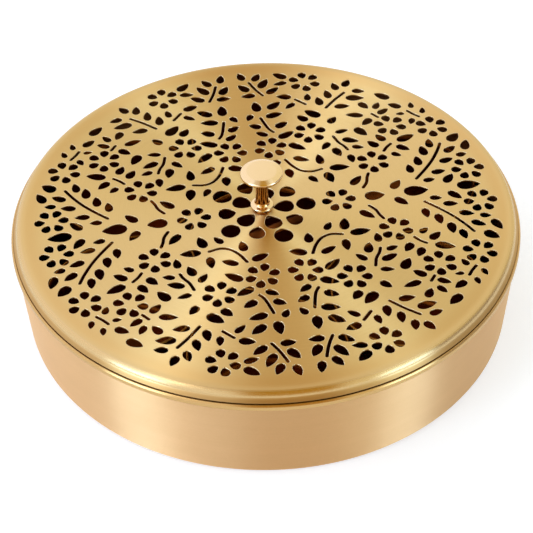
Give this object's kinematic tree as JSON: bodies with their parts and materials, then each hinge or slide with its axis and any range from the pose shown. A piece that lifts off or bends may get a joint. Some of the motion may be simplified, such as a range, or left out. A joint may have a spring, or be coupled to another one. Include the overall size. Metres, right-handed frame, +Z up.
{
  "type": "spice box",
  "caption": "Round brass masala dabba: shallow spun box, pierced floral lift-off lid with a turned knob, small loose bowls and a spoon inside.",
  "frame": {"origin": "centre of the box's flat underside", "axes": "+Z up, -Y towards the viewer; the lid's pattern is turned 9.5 degrees from X; the knob stands 1.5 mm from the axis towards -X"},
  "size_m": [0.2432, 0.2432, 0.0798],
  "materials": {
    "lid_brass": "satin, spun in circles, clear lacquer",
    "wall_brass": "satin, fine lines round the wall",
    "knob_brass": "turned and polished, matt top",
    "bowl_brass": "satin inside, polished rim",
    "spoon_brass": "polished",
    "steel": "plain"
  },
  "bodies": {
    "box": {"box_shell": "wall_brass"},
    "lid": {"lid_panel": "lid_brass", "lid_rim": "lid_brass", "knob": "knob_brass", "knob_washer": "steel", "knob_screw": "steel"},
    "spoon": {"spoon": "spoon_brass"},
    "bowl_centre": {"bowl_centre": "bowl_brass"},
    "bowl_1": {"bowl_1": "bowl_brass"},
    "bowl_2": {"bowl_2": "bowl_brass"},
    "bowl_3": {"bowl_3": "bowl_brass"},
    "bowl_4": {"bowl_4": "bowl_brass"},
    "bowl_5": {"bowl_5": "bowl_brass"},
    "bowl_6": {"bowl_6": "bowl_brass"}
  },
  "joints": [
    {"name": "lid_lift", "type": "slide", "parent": "box", "child": "lid", "axis": [0, 0, 1], "range_m": [0, 0.16]},
    {"name": "spoon_lift", "type": "slide", "parent": "box", "child": "spoon", "axis": [0, 0, 1], "range_m": [0, 0.105]},
    {"name": "bowl_centre_lift", "type": "slide", "parent": "box", "child": "bowl_centre", "axis": [0, 0, 1], "range_m": [0, 0.057]},
    {"name": "bowl_1_lift", "type": "slide", "parent": "box", "child": "bowl_1", "axis": [0, 0, 1], "range_m": [0, 0.057]},
    {"name": "bowl_2_lift", "type": "slide", "parent": "box", "child": "bowl_2", "axis": [0, 0, 1], "range_m": [0, 0.057]},
    {"name": "bowl_3_lift", "type": "slide", "parent": "box", "child": "bowl_3", "axis": [0, 0, 1], "range_m": [0, 0.057]},
    {"name": "bowl_4_lift", "type": "slide", "parent": "box", "child": "bowl_4", "axis": [0, 0, 1], "range_m": [0, 0.057]},
    {"name": "bowl_5_lift", "type": "slide", "parent": "box", "child": "bowl_5", "axis": [0, 0, 1], "range_m": [0, 0.057]},
    {"name": "bowl_6_lift", "type": "slide", "parent": "box", "child": "bowl_6", "axis": [0, 0, 1], "range_m": [0, 0.057]}
  ],
  "couplings": [
    {"joint": "spoon_lift", "follows": "lid_lift", "ratio": 0.65},
    {"joint": "bowl_centre_lift", "follows": "lid_lift", "ratio": 0.35},
    {"joint": "bowl_1_lift", "follows": "lid_lift", "ratio": 0.35},
    {"joint": "bowl_2_lift", "follows": "lid_lift", "ratio": 0.35},
    {"joint": "bowl_3_lift", "follows": "lid_lift", "ratio": 0.35},
    {"joint": "bowl_4_lift", "follows": "lid_lift", "ratio": 0.35},
    {"joint": "bowl_5_lift", "follows": "lid_lift", "ratio": 0.35},
    {"joint": "bowl_6_lift", "follows": "lid_lift", "ratio": 0.35}
  ]
}
